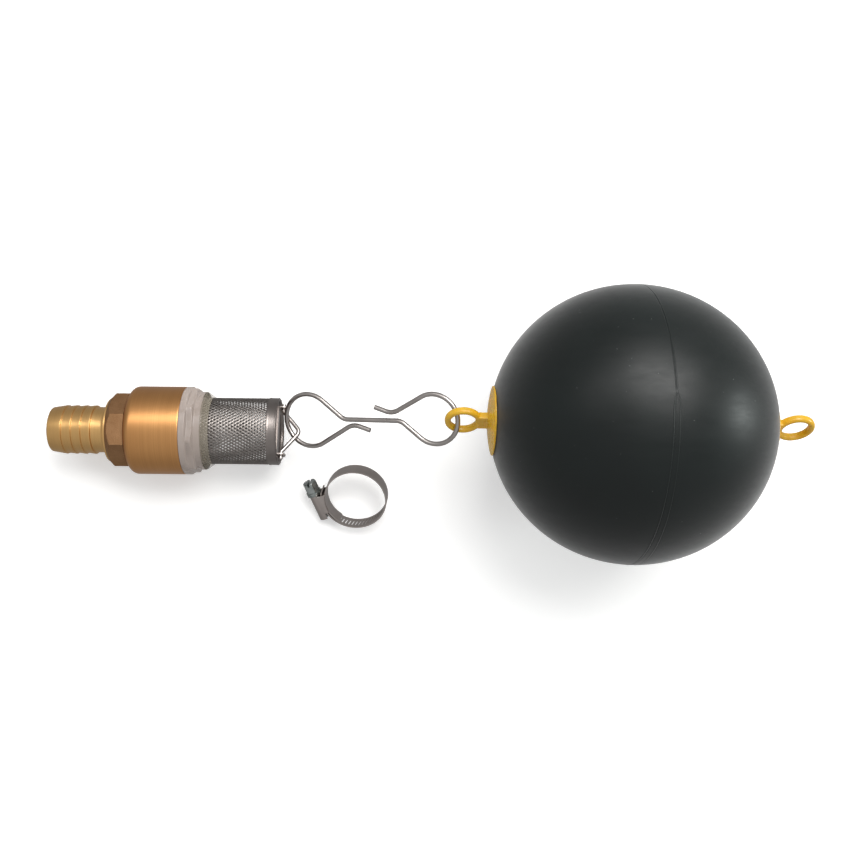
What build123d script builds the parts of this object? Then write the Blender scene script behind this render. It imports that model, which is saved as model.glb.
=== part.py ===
from build123d import *
import math
import os

# Floating suction intake: a hose tail and a spring check valve with a strainer basket, hung from a
# ball float by a bail and a double-ended wire hook, with a loose worm-drive hose clamp beside it.
# Millimetres. +X runs from the hose tail to the far eyelet, +Z is up. The origin is under the middle
# of the whole part, on the surface that it lies on.

# ---------------------------------------------------------------- driving dimensions
# valve: stations run from the hose tail's tip along the valve's axis
TIP_X = -197.22
VALVE_Y = -7.0
BODY_R = 24.0

NOSE_R = 12.1
SHANK_R = 12.45
BARB_ROOT_R = 12.7
BARB_R = 13.3
BARB_LAND = 0.6
BARB_COUNT = 4
BARB_PITCH = 5.2
FIRST_BARB = 7.6
TAIL_BORE_R = 10.0
TAIL_FILLET = 3.0
COLLAR_R = 17.5
COLLAR_START = 31.7
THREAD_R = 16.6
THREAD_END = 43.5
TAIL_NECK_R = 15.2

BODY_START = 32.9
OCTAGON_R = 21.3
OCTAGON_END = 43.4
SHOULDER_END = 47.7
BODY_END = 73.1
OCTAGON_ROLL = 20.0
CHAMFER_START_R = 18.1
BODY_MOUTH_R = 17.3
BODY_STEP_R = 14.5
BODY_STEP = 2.5
CHAMBER_R = 19.5
CHAMBER_END = 62.05
SPIGOT_R = 20.5
BODY_RECESS_R = 21.45

FLANGE = 3.0
WRENCH_END = 80.3
WRENCH_CHAMFER = 1.9
WRENCH_ROLL = 12.0
SHELL_R = 21.4
SHELL_END = 84.4
CONE_END = 87.8
SEAT_START = 64.05
SEAT_BORE_R = 13.5
SEAT_LIP = 1.2
ADAPTOR_NECK_R = 19.65
MESH_LEDGE = 1.5
MESH_LEAD_IN = 4.0

MESH_R = 18.2
MESH_WALL = 0.35
MESH_START = 79.5
CAP_START = 118.4
CAP_END = 123.8
CAP_WALL = 0.35
CAP_RIM = 1.3
CAP_FLOOR = 121.4
CAP_FLOOR_WALL = 0.6

# check valve's inside
GUIDE_RING = 2.0
GUIDE_RING_WIDE = 2.5
GUIDE_SPOKE_WIDE = 2.6
GUIDE_HUB_R = 4.2
GUIDE_HUB = 6.0
STEM_R = 2.0
STEM_PLAY = 0.05
STEM_START = 44.0
STEM_CHAMFER = 0.4
POPPET_R = 15.5
POPPET_BACK = 60.0
POPPET_BOSS = 2.5
SEAL_START = 62.5
SEAL_WALL = 1.5
SEAL_INSET = 0.3
RETAINER_R = 11.5
RETAINER_WALL = 1.0
RIVET_R = 3.0
RIVET_HEAD_R = 4.6
RIVET_HEAD = 1.1
SPRING_R = 7.2
SPRING_WIRE = 1.0
SPRING_TURNS = 4
O_RING_WIRE = 0.85
O_RING_GROOVE = 1.9
O_RING_PLAY = 0.02

# bail and its lugs
EAR_ROLL = -24.0
PIVOT = 125.0
EAR_REACH = 14.2
EAR_WALL = 0.8
EAR_R = 2.6
STRIP_WIDTH = 5.2
BAIL_WIRE_R = 1.1
BAIL_PLAY = 0.07
BAIL_HALF = 12.0
BAIL_APEX = 9.8
BAIL_END = 16.0
BAIL_END_R = 1.8
BAIL_APEX_R = 3.5

# hook
HOOK_WIRE_R = 1.25
HOOK_BAR = 28.5
HOOK_BEND = 40.0
HOOK_BEND_R = 7.0
HOOK_CURL = 47.0
HOOK_CURL_R = 9.0
HOOK_TIP = 6.4
# each loop: its radius, the run into it, the run out of it, and how far it turns
HOOK_NEAR = (14.5, 13.2, 18.7, 249.5)
HOOK_FAR = (13.0, 10.9, 15.5, 248.0)
HOOK_PLACE = (-22.65, 0.2, 46.2)
HOOK_TURNS = (13.5, -25.8, -0.4)

# float
FLOAT_R = 69.25
FLOAT_WALL = 2.6
FLOAT_X = 105.68
FLOAT_YAW = -0.75
FLOAT_PITCH = -0.75
EYE_R = 7.7
EYE_WALL = 3.0
EYE_THICK = 4.0
EYE_EASE = 1.45
EYE_TILT = 53.0
EYE_REACH = 13.0
NECK_R = 4.5
EYE_FLANGE_R = 17.5
EYE_FLANGE = 1.0
SEAT_GAP = 0.03
STEM_REACH = 2.5

# hose clamp
CLAMP_R = 17.6
CLAMP_BAND = 0.7
CLAMP_WIDTH = 9.0
CLAMP_SHIFT = 1.25
CLAMP_JOIN = 288.0
CLAMP_TONGUE = 217.0
CLAMP_TAIL = 150.0
CLAMP_X = -31.82
CLAMP_Y = -43.4
CLAMP_LEAN = 24.0
CLAMP_HEADING = -15.0
CLAMP_SPIN = 21.0
SLOT_PITCH = 1.8
SLOT_WIDE = 0.8
SLOT_LONG = 5.0
SLOT_SLANT = 12.0
SLOT_FIRST = 310.0
ARCH_LONG = 15.5
ARCH_SHIFT = 0.9
SADDLE_LONG = 11.0
SADDLE_TOP = 20.1
HOUSING_WALL = 0.7
HOUSING_PLAY = 0.15
SCREW_AXIS = 22.0
SCREW_R = 2.5
SCREW_PLAY = 0.08
SCREW_END_GAP = 0.2
SCREW_BARREL = 12.2
SCREW_NECK = 3.0
SCREW_COLLAR_R = 4.2
SCREW_COLLAR = 2.0
SCREW_HEAD_AF = 7.0
SCREW_HEAD = 6.0
SCREW_SLOT_WIDE = 1.2
SCREW_SLOT_DEEP = 1.8

MIN_EDGE = 0.5


# ---------------------------------------------------------------- helpers
def turned(points, rounded=()):
    """A solid turned about the X axis from a closed outline of (station, radius) points.

    Each (station, radius, size) in rounded is one of the outline's corners and its fillet's size.
    """
    outline = make_face(Polyline(points, close=True))
    for station, radius, size in rounded:
        corner = outline.vertices().sort_by_distance((station, radius, 0))[0]
        outline = fillet(corner, size)
    return revolve(outline, Axis.X)


def tube(start, end, outer, inner):
    """A tube along X."""
    return turned([(start, inner), (end, inner), (end, outer), (start, outer)])


def rod(start, end, radius):
    """A round bar along X."""
    return turned([(start, 0), (end, 0), (end, radius), (start, radius)])


def octagon(start, end, corner_r, roll):
    """An octagonal bar along X, with one corner at the roll angle."""
    outline = Plane.YZ.offset(start) * RegularPolygon(corner_r, 8, rotation=roll)
    return extrude(outline, end - start)


def ring_cord(centre_station, radius, cord_r):
    """A rubber O-ring about X."""
    section = Pos(centre_station, radius) * Circle(cord_r)
    return revolve(section, Axis.X)


def bent_wire(moves, start, heading):
    """A wire's path in the XY plane: straight runs (length) and turns (degrees, radius)."""
    edges = []
    point = Vector(*start)
    way = Vector(math.cos(math.radians(heading)), math.sin(math.radians(heading)))
    for move in moves:
        if len(move) == 1:
            edge = Line(point, point + way * move[0])
        else:
            angle, radius = move
            edge = JernArc(point, way, radius, angle)
        edges.append(edge)
        point = edge @ 1
        way = edge % 1
    return edges


def round_wire(edges, radius):
    """A round wire, cut square at both ends, swept along a path of straight runs and arcs."""
    path = Wire(edges)
    section = Plane(path @ 0, z_dir=path % 0) * Circle(radius)
    return sweep(section, path)


def save(shape, node):
    """Writes one node, made of all its solids."""
    solids = shape.solids()
    body = solids[0] if len(solids) == 1 else Compound(children=list(solids))
    export_step(body, f"parts/{node}.step")
    volume = sum(solid.volume for solid in solids)
    print(f"{node}: {len(solids)} solid(s), {volume:.1f} mm3")


on_valve = Pos(TIP_X, VALVE_Y, BODY_R)
on_float = Pos(FLOAT_X, 0, FLOAT_R) * Rot(0, FLOAT_PITCH, FLOAT_YAW)


# ---------------------------------------------------------------- check valve, outside
def make_hose_tail():
    """Hose tail: four saw-tooth barbs, a plain shank, a fillet to the collar, and its thread."""
    outline = [(0, TAIL_BORE_R), (0, NOSE_R - MIN_EDGE), (MIN_EDGE, NOSE_R)]
    for number in range(BARB_COUNT):
        crest = FIRST_BARB + number * BARB_PITCH
        if number:
            outline.append((crest - BARB_PITCH + BARB_LAND / 2, BARB_ROOT_R))
        outline.append((crest - BARB_LAND / 2, BARB_R))
        outline.append((crest + BARB_LAND / 2, BARB_R))
    last = FIRST_BARB + (BARB_COUNT - 1) * BARB_PITCH + BARB_LAND / 2
    outline += [
        (last, SHANK_R),
        (COLLAR_START, SHANK_R),
        (COLLAR_START, COLLAR_R - MIN_EDGE / 2),
        (COLLAR_START + MIN_EDGE / 2, COLLAR_R),
        (BODY_START, COLLAR_R),
        (BODY_START, TAIL_NECK_R),
        (BODY_START + O_RING_GROOVE, TAIL_NECK_R),
        (BODY_START + O_RING_GROOVE, THREAD_R),
        (THREAD_END, THREAD_R),
        (THREAD_END, TAIL_BORE_R),
    ]
    return turned(outline, [(COLLAR_START, SHANK_R, TAIL_FILLET)])


def make_tail_o_ring():
    """Seal under the hose tail's collar, in the mouth of the body."""
    return ring_cord(BODY_START + O_RING_GROOVE / 2, TAIL_NECK_R + O_RING_WIRE + O_RING_PLAY, O_RING_WIRE)


def make_valve_body():
    """Body: chamfered octagon, rounded shoulder and turned cylinder, bored for the valve."""
    nut = octagon(BODY_START, SHOULDER_END, OCTAGON_R, OCTAGON_ROLL)
    nose = turned([
        (BODY_START, 0),
        (SHOULDER_END, 0),
        (SHOULDER_END, OCTAGON_R + 1),
        (BODY_START + OCTAGON_R + 1 - CHAMFER_START_R, OCTAGON_R + 1),
        (BODY_START, CHAMFER_START_R),
    ])
    outline = [
        (OCTAGON_END, 0),
        (OCTAGON_END, BODY_R),
        (BODY_END - MIN_EDGE, BODY_R),
        (BODY_END, BODY_R - MIN_EDGE),
        (BODY_END, 0),
    ]
    cylinder = turned(outline, [(OCTAGON_END, BODY_R, SHOULDER_END - OCTAGON_END)])
    hollow = turned([
        (BODY_START, 0),
        (BODY_START, BODY_MOUTH_R),
        (BODY_START + O_RING_GROOVE, BODY_MOUTH_R),
        (BODY_START + O_RING_GROOVE, THREAD_R),
        (THREAD_END, THREAD_R),
        (THREAD_END, BODY_STEP_R),
        (THREAD_END + BODY_STEP, BODY_STEP_R),
        (THREAD_END + BODY_STEP, CHAMBER_R),
        (CHAMBER_END, CHAMBER_R),
        (CHAMBER_END, SPIGOT_R),
        (BODY_END - O_RING_GROOVE, SPIGOT_R),
        (BODY_END - O_RING_GROOVE, BODY_RECESS_R),
        (BODY_END, BODY_RECESS_R),
        (BODY_END, 0),
    ])
    return (nut & nose) + cylinder - hollow


def make_body_o_ring():
    """Seal under the adaptor's flange, in the other mouth of the body."""
    return ring_cord(BODY_END - O_RING_GROOVE / 2, BODY_RECESS_R - O_RING_WIRE - O_RING_PLAY, O_RING_WIRE)


def make_strainer_adaptor():
    """Adaptor: valve seat and spigot inside, flange, octagon, shell and cone outside."""
    flange = tube(BODY_END, BODY_END + FLANGE, BODY_R, SEAT_BORE_R)
    wrench = octagon(BODY_END + FLANGE, WRENCH_END, BODY_R, WRENCH_ROLL) & turned([
        (BODY_END + FLANGE, 0),
        (BODY_END + FLANGE, BODY_R + 1),
        (WRENCH_END - WRENCH_CHAMFER, BODY_R + 1),
        (WRENCH_END - WRENCH_CHAMFER, BODY_R),
        (WRENCH_END, SHELL_R),
        (WRENCH_END, 0),
    ])
    core = turned([
        (SEAT_START, SEAT_BORE_R),
        (SEAT_START, SEAT_BORE_R + SEAT_LIP),
        (SEAT_START + SEAT_LIP, SPIGOT_R - 2 * SEAT_LIP),
        (SEAT_START + SEAT_LIP, SPIGOT_R),
        (BODY_END - O_RING_GROOVE, SPIGOT_R),
        (BODY_END - O_RING_GROOVE, ADAPTOR_NECK_R),
        (BODY_END, ADAPTOR_NECK_R),
        (BODY_END + FLANGE, SHELL_R),
        (SHELL_END, SHELL_R),
        (CONE_END, MESH_R + MIN_EDGE),
        (CONE_END, MESH_R),
        (MESH_START, MESH_R),
        (MESH_START, MESH_R - MESH_LEDGE),
        (MESH_START - MESH_LEAD_IN, SEAT_BORE_R),
    ])
    bore = rod(SEAT_START - 1, MESH_START - MESH_LEAD_IN, SEAT_BORE_R) + turned([
        (MESH_START - MESH_LEAD_IN, 0),
        (MESH_START - MESH_LEAD_IN, SEAT_BORE_R),
        (MESH_START, MESH_R - MESH_LEDGE),
        (MESH_START, MESH_R),
        (CONE_END + 1, MESH_R),
        (CONE_END + 1, 0),
    ])
    return flange + core + (wrench - bore)


def make_strainer_mesh():
    """Strainer basket's wall, as a plain thin tube."""
    return tube(MESH_START, CAP_FLOOR - CAP_WALL, MESH_R, MESH_R - MESH_WALL)


def make_strainer_cap():
    """Pressed end cap: a collar over the basket, a folded rim and a sunk floor."""
    outer = MESH_R + CAP_WALL
    fold = CAP_WALL + MIN_EDGE
    return turned([
        (CAP_START, MESH_R),
        (CAP_START, outer),
        (CAP_END - fold, outer),
        (CAP_END - fold / 3, outer - fold / 4),
        (CAP_END, outer - fold),
        (CAP_END, outer - CAP_RIM),
        (CAP_END - fold / 3, outer - CAP_RIM - fold / 2),
        (CAP_FLOOR + CAP_FLOOR_WALL, outer - CAP_RIM - fold),
        (CAP_FLOOR + CAP_FLOOR_WALL, 0),
        (CAP_FLOOR, 0),
        (CAP_FLOOR, MESH_R - MESH_WALL - CAP_FLOOR_WALL),
        (CAP_FLOOR - CAP_WALL, MESH_R),
    ])


# ---------------------------------------------------------------- check valve, inside
def make_stem_guide():
    """Guide: a ring against the body's step, four spokes and a hub for the stem."""
    start = THREAD_END + BODY_STEP
    guide = tube(start, start + GUIDE_RING, CHAMBER_R, CHAMBER_R - GUIDE_RING_WIDE)
    reach = CHAMBER_R - GUIDE_RING_WIDE / 2
    for quarter in range(4):
        spoke = Pos(start + GUIDE_RING / 2, 0, reach / 2) * Box(GUIDE_RING, GUIDE_SPOKE_WIDE, reach)
        guide += Rot(90 * quarter, 0, 0) * spoke
    hub_start = start - GUIDE_RING
    guide += rod(hub_start, hub_start + GUIDE_HUB, GUIDE_HUB_R)
    return guide - rod(start - GUIDE_HUB, start + GUIDE_HUB, STEM_R + STEM_PLAY)


def make_poppet():
    """Poppet: stem, spring boss, disc, and a nose rivet that holds the seal."""
    rivet = SEAL_START + SEAL_WALL + RETAINER_WALL
    return turned([
        (STEM_START, 0),
        (STEM_START, STEM_R - STEM_CHAMFER),
        (STEM_START + STEM_CHAMFER, STEM_R),
        (POPPET_BACK - POPPET_BOSS, STEM_R),
        (POPPET_BACK - POPPET_BOSS, SPRING_R - SPRING_WIRE),
        (POPPET_BACK, SPRING_R - SPRING_WIRE),
        (POPPET_BACK, POPPET_R),
        (SEAL_START, POPPET_R),
        (SEAL_START, RIVET_R),
        (rivet, RIVET_R),
        (rivet, RIVET_HEAD_R),
        (rivet + RIVET_HEAD, RIVET_R),
        (rivet + RIVET_HEAD, 0),
    ])


def make_poppet_seal():
    """Flat rubber seal on the poppet's face."""
    return tube(SEAL_START, SEAL_START + SEAL_WALL, POPPET_R - SEAL_INSET, RIVET_R)


def make_seal_retainer():
    """Washer that clamps the seal."""
    start = SEAL_START + SEAL_WALL
    return tube(start, start + RETAINER_WALL, RETAINER_R, RIVET_R)


def make_valve_spring():
    """Compression spring between the guide's spokes and the poppet, with closed end rings."""
    start = THREAD_END + BODY_STEP + GUIDE_RING
    length = POPPET_BACK - start
    wire_r = SPRING_WIRE / 2
    rise = length - 2 * wire_r
    coil = Helix(rise / SPRING_TURNS, rise, SPRING_R, center=(0, 0, 0), direction=(0, 0, 1))
    section = Plane(coil @ 0, z_dir=coil % 0) * Circle(wire_r)
    spring = sweep(section, coil, is_frenet=True)
    return Pos(start + wire_r, 0, 0) * Rot(0, 90, 0) * spring


# ---------------------------------------------------------------- bail and hook
def make_bail_bracket():
    """Strip across the cap's floor with two turned-up lugs for the bail."""
    floor = CAP_FLOOR + CAP_FLOOR_WALL
    bracket = Pos(floor + EAR_WALL / 2, 0, 0) * Box(EAR_WALL, 2 * EAR_REACH, STRIP_WIDTH)
    for side in (-1, 1):
        lug_y = side * (EAR_REACH - EAR_WALL / 2)
        neck = Pos((floor + PIVOT) / 2, lug_y, 0) * Box(PIVOT - floor, EAR_WALL, STRIP_WIDTH)
        tip = Pos(PIVOT, lug_y, 0) * Rot(90, 0, 0) * Cylinder(EAR_R, EAR_WALL)
        hole = Pos(PIVOT, lug_y, 0) * Rot(90, 0, 0) * Cylinder(BAIL_WIRE_R + BAIL_PLAY, 2)
        bracket += neck + tip
        bracket -= hole
    return Rot(EAR_ROLL, 0, 0) * bracket


def make_bail():
    """Wire bail: a V with a rounded apex, its ends turned outward through the lugs."""
    half_apex = math.degrees(math.atan2(BAIL_HALF, BAIL_APEX))
    leg = math.hypot(BAIL_HALF, BAIL_APEX)
    end_bend = 90 - half_apex
    end_cut = BAIL_END_R * math.tan(math.radians(end_bend / 2))
    apex_cut = BAIL_APEX_R * math.tan(math.radians(90 - half_apex))
    straight = leg - end_cut - apex_cut
    end = (BAIL_END - BAIL_HALF - end_cut,)
    moves = [
        end,
        (end_bend, BAIL_END_R),
        (straight,),
        (-(180 - 2 * half_apex), BAIL_APEX_R),
        (straight,),
        (end_bend, BAIL_END_R),
        end,
    ]
    path = bent_wire(moves, (0, BAIL_END), -90)
    return Pos(PIVOT, 0, 0) * Rot(EAR_ROLL, 0, 0) * round_wire(path, BAIL_WIRE_R)


def hook_end(loop_r, first_run, second_run, loop_turn):
    """Moves along one end of the hook, from the middle of its bar to its tip."""
    return [
        (HOOK_BAR / 2,),
        (-HOOK_BEND, HOOK_BEND_R),
        (first_run,),
        (loop_turn, loop_r),
        (second_run,),
        (-HOOK_CURL, HOOK_CURL_R),
        (HOOK_TIP,),
    ]


def make_link_hook():
    """Double-ended hook: an open loop at each end of a straight bar, opening opposite ways."""
    near = bent_wire(hook_end(*HOOK_NEAR), (0, 0), 180)
    far = bent_wire(hook_end(*HOOK_FAR), (0, 0), 0)
    wire = round_wire(near, HOOK_WIRE_R) + round_wire(far, HOOK_WIRE_R)
    roll, pitch, yaw = HOOK_TURNS
    return Pos(*HOOK_PLACE) * Rot(0, 0, yaw) * Rot(0, pitch, 0) * Rot(roll, 0, 0) * wire


# ---------------------------------------------------------------- float
def make_float_shell():
    """Hollow ball, with a hole at each pole for the eyelets' stems."""
    ball = Sphere(FLOAT_R) - Sphere(FLOAT_R - FLOAT_WALL)
    return ball - Rot(0, 90, 0) * Cylinder(NECK_R + SEAT_GAP, 2 * FLOAT_R + 2)


def make_eyelet(tilt):
    """Eyelet on the +X pole: stem through the shell, curved flange, neck and a tilted ring."""
    outer = FLOAT_R + EYE_FLANGE
    ring_x = FLOAT_R + EYE_REACH
    flange = Sphere(outer) - Sphere(FLOAT_R + SEAT_GAP)
    flange &= Pos(FLOAT_R, 0, 0) * Rot(0, 90, 0) * Cylinder(EYE_FLANGE_R, 20)
    stem = rod(FLOAT_R - FLOAT_WALL - STEM_REACH, outer, NECK_R)
    neck_start = outer - EYE_FLANGE + 0.2
    neck_end = ring_x - EYE_R
    neck = Pos((neck_start + neck_end) / 2, 0, 0) * Box(neck_end - neck_start, 2 * NECK_R, EYE_THICK)
    section = Pos(0, EYE_R) * RectangleRounded(EYE_THICK, EYE_WALL, EYE_EASE)
    ring = Pos(ring_x, 0, 0) * Rot(0, 90, 0) * revolve(section, Axis.X)
    return Rot(tilt, 0, 0) * (flange + stem + neck + ring)


# ---------------------------------------------------------------- hose clamp
# The clamp's own frame has the band's axis along Z and the housing on the -X side.
def band_point(radius, angle, centre=(0, 0)):
    """A point on the band, at an angle about a centre."""
    turn = math.radians(angle)
    return (centre[0] + radius * math.cos(turn), centre[1] + radius * math.sin(turn))


def make_clamp_band():
    """Slotted band: a ring from the tongue, round to a free end that lies over the tongue."""
    middle = CLAMP_R - CLAMP_BAND / 2
    wide = middle + CLAMP_SHIFT
    wide_centre = band_point(-CLAMP_SHIFT, CLAMP_JOIN)
    ring = CenterArc((0, 0), middle, CLAMP_TONGUE, CLAMP_JOIN - CLAMP_TONGUE - 360)
    lap = CenterArc(wide_centre, wide, CLAMP_JOIN, CLAMP_TAIL - CLAMP_JOIN)
    strip = Pos(0, 0, -CLAMP_WIDTH / 2) * extrude(
        sweep_strip([ring, lap], CLAMP_BAND), CLAMP_WIDTH
    )
    slot_step = math.degrees(SLOT_PITCH / middle)
    slots = int((SLOT_FIRST - CLAMP_TAIL) / slot_step)
    for number in range(slots):
        angle = SLOT_FIRST - number * slot_step
        centre = wide_centre if angle < CLAMP_JOIN else (0, 0)
        radius = wide if angle < CLAMP_JOIN else middle
        place = Pos(*band_point(radius, angle, centre), 0) * Rot(0, 0, angle) * Rot(SLOT_SLANT, 0, 0)
        strip -= place * Box(1.3 * CLAMP_BAND, SLOT_WIDE, SLOT_LONG)
    return strip


def sweep_strip(edges, thickness):
    """The flat face of a strip, as thick as stated, along arcs that follow each other."""
    faces = []
    for edge in edges:
        centre = edge.arc_center
        start = math.degrees(math.atan2((edge @ 0).Y - centre.Y, (edge @ 0).X - centre.X))
        end = math.degrees(math.atan2((edge @ 1).Y - centre.Y, (edge @ 1).X - centre.X))
        sweep_angle = math.degrees(edge.length / edge.radius)
        inner, outer = edge.radius - thickness / 2, edge.radius + thickness / 2
        spot = (centre.X, centre.Y)
        outline = [
            CenterArc(spot, outer, start, -sweep_angle),
            Line(band_point(outer, end, spot), band_point(inner, end, spot)),
            CenterArc(spot, inner, end, sweep_angle),
            Line(band_point(inner, start, spot), band_point(outer, start, spot)),
        ]
        faces.append(make_face(outline))
    return faces[0] + faces[1:]


def make_clamp_housing():
    """Housing: a saddle part of the way down the band's two edges, and an arch over the screw."""
    half = CLAMP_WIDTH / 2 + HOUSING_PLAY
    wide = 2 * (half + HOUSING_WALL)
    saddle_y = ARCH_SHIFT + (ARCH_LONG - SADDLE_LONG) / 2
    saddle = Pos(-SADDLE_TOP / 2, saddle_y, 0) * Box(SADDLE_TOP, SADDLE_LONG, wide)
    space = Pos(-SADDLE_TOP / 2, saddle_y, 0) * Box(
        SADDLE_TOP - 2 * HOUSING_WALL, SADDLE_LONG + 1, 2 * half
    )
    saddle -= space + Cylinder(CLAMP_R - CLAMP_BAND / 2, 3 * CLAMP_WIDTH)
    bore_r = SCREW_R + SCREW_PLAY
    flank = SCREW_AXIS - SADDLE_TOP
    arch = make_arch(bore_r + HOUSING_WALL, flank, ARCH_LONG)
    tunnel = make_arch(bore_r, flank + 2 * HOUSING_WALL, ARCH_LONG + 1)
    return saddle + arch - tunnel


def make_arch(radius, flank, length):
    """A bar along the screw: half round away from the band, with flat flanks towards it."""
    crown = Pos(-SCREW_AXIS, 0, 0) * Rot(90, 0, 0) * Cylinder(radius, length)
    crown &= Pos(-SCREW_AXIS - radius / 2, 0, 0) * Box(radius, length, 2 * radius)
    sides = Pos(flank / 2 - SCREW_AXIS, 0, 0) * Box(flank, length, 2 * radius)
    return Pos(0, ARCH_SHIFT, 0) * (crown + sides)


def make_clamp_screw():
    """Worm screw: plain barrel in the housing, collar, and a slotted hexagon head."""
    mouth = ARCH_LONG / 2
    collar_start = mouth + SCREW_END_GAP
    head_start = collar_start + SCREW_COLLAR
    barrel = Pos(0, 0, mouth - SCREW_NECK + SCREW_END_GAP - SCREW_BARREL / 2) * Cylinder(
        SCREW_R, SCREW_BARREL
    )
    neck = Pos(0, 0, collar_start - SCREW_NECK / 2) * Cylinder(SCREW_R - MIN_EDGE, SCREW_NECK)
    collar = Pos(0, 0, collar_start + SCREW_COLLAR / 2) * Cylinder(SCREW_COLLAR_R, SCREW_COLLAR)
    corner_r = SCREW_HEAD_AF / 2 / math.cos(math.pi / 6)
    head = Pos(0, 0, head_start) * extrude(RegularPolygon(corner_r, 6), SCREW_HEAD)
    crown = Pos(0, 0, head_start + SCREW_HEAD / 2) * Cone(
        corner_r + SCREW_HEAD, corner_r - MIN_EDGE, SCREW_HEAD
    )
    slot = Pos(0, 0, head_start + SCREW_HEAD) * Box(
        SCREW_SLOT_WIDE, 3 * corner_r, 2 * SCREW_SLOT_DEEP
    )
    screw = barrel + neck + collar + (head & crown) - slot
    return Pos(-SCREW_AXIS, ARCH_SHIFT, 0) * Rot(-90, 0, 0) * screw


def clamp_turn():
    """How the loose clamp leans."""
    return Rot(0, 0, CLAMP_HEADING) * Rot(CLAMP_LEAN, 0, 0) * Rot(0, 0, CLAMP_SPIN - CLAMP_HEADING)


# ---------------------------------------------------------------- write every node
os.makedirs("parts", exist_ok=True)

save(on_valve * make_hose_tail(), "hose_tail")
save(on_valve * make_tail_o_ring(), "tail_o_ring")
save(on_valve * make_valve_body(), "valve_body")
save(on_valve * make_body_o_ring(), "body_o_ring")
save(on_valve * make_strainer_adaptor(), "strainer_adaptor")
save(on_valve * make_strainer_mesh(), "strainer_mesh")
save(on_valve * make_strainer_cap(), "strainer_cap")
save(on_valve * make_stem_guide(), "stem_guide")
save(on_valve * make_poppet(), "poppet")
save(on_valve * make_poppet_seal(), "poppet_seal")
save(on_valve * make_seal_retainer(), "seal_retainer")
save(on_valve * make_valve_spring(), "valve_spring")
save(on_valve * make_bail_bracket(), "bail_bracket")
save(on_valve * make_bail(), "bail")
save(make_link_hook(), "link_hook")
save(on_float * make_float_shell(), "float_shell")
save(on_float * make_eyelet(EYE_TILT), "eyelet_outer")
save(on_float * Rot(0, 0, 180) * make_eyelet(-EYE_TILT), "eyelet_inner")
clamp = {
    "clamp_band": clamp_turn() * make_clamp_band(),
    "clamp_housing": clamp_turn() * make_clamp_housing(),
    "clamp_screw": clamp_turn() * make_clamp_screw(),
}
rest = -min(piece.bounding_box().min.Z for piece in clamp.values())
for node, piece in clamp.items():
    save(Pos(CLAMP_X, CLAMP_Y, rest) * piece, node)
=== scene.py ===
import math

import bmesh
import bpy
from mathutils import Matrix, Vector


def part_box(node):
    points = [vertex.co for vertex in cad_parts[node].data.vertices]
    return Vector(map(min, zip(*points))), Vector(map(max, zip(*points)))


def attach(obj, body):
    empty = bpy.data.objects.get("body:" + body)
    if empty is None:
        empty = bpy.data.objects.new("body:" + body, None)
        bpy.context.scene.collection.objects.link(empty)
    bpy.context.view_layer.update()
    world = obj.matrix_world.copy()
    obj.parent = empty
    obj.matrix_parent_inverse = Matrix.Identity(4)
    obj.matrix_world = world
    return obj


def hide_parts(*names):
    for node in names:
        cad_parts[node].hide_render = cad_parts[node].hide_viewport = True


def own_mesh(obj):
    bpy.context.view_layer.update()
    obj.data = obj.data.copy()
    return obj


# Floating suction intake. Metres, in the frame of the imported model: +X runs from the hose tail to
# the far eyelet and +Z is up. Outlines are in millimetres and become metres when a mesh is made.
# SIDE_TURN is the angle that one side of an octagon takes up.

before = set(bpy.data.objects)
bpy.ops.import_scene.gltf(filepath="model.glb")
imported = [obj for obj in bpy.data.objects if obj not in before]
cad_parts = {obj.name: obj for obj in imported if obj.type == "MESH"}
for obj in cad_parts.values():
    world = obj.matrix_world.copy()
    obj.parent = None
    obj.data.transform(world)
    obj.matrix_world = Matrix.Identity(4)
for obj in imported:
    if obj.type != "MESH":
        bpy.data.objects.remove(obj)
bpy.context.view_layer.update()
MM = 0.001
WELD_GAP = 0.000002
SIDE_TURN = math.pi / 4
HALF_SIDE_TURN = math.pi / 8

# ---------------------------------------------------------------- places, from the frame
tail_low, tail_high = (Vector(corner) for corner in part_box("hose_tail"))
body_low, body_high = (Vector(corner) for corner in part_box("valve_body"))
adaptor_low, adaptor_high = (Vector(corner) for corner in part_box("strainer_adaptor"))
mesh_low, mesh_high = (Vector(corner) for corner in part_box("strainer_mesh"))
cap_low, cap_high = (Vector(corner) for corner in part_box("strainer_cap"))
ball_low, ball_high = (Vector(corner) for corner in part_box("float_shell"))
inner_low, inner_high = (Vector(corner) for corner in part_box("eyelet_inner"))
outer_low, outer_high = (Vector(corner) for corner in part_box("eyelet_outer"))

TIP_X = tail_low.x
AXIS_Y = (body_low.y + body_high.y) / 2
AXIS_Z = (body_low.z + body_high.z) / 2
BODY_R = (body_high.y - body_low.y) / 2 / MM

BALL_R = (ball_high.z - ball_low.z) / 2
BALL_CENTRE = Vector(((outer_high.x + inner_low.x) / 2, 0, (ball_low.z + ball_high.z) / 2))
EYE_LINE = Vector((
    outer_high.x - inner_low.x,
    (outer_low.y + outer_high.y - inner_low.y - inner_high.y) / 2,
    (outer_low.z + outer_high.z - inner_low.z - inner_high.z) / 2,
)).normalized()


def station(x):
    """The distance in millimetres from the hose tail's tip, along the valve's axis."""
    return (x - TIP_X) / MM


BODY_START = station(body_low.x)
BODY_END = station(body_high.x)
CONE_END = station(adaptor_high.x)
MESH_START = station(mesh_low.x)
MESH_END = station(mesh_high.x)
CAP_START = station(cap_low.x)
CAP_END = station(cap_high.x)
MESH_R = (mesh_high.y - mesh_low.y) / 2 / MM
CAP_R = (cap_high.y - cap_low.y) / 2 / MM


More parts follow.
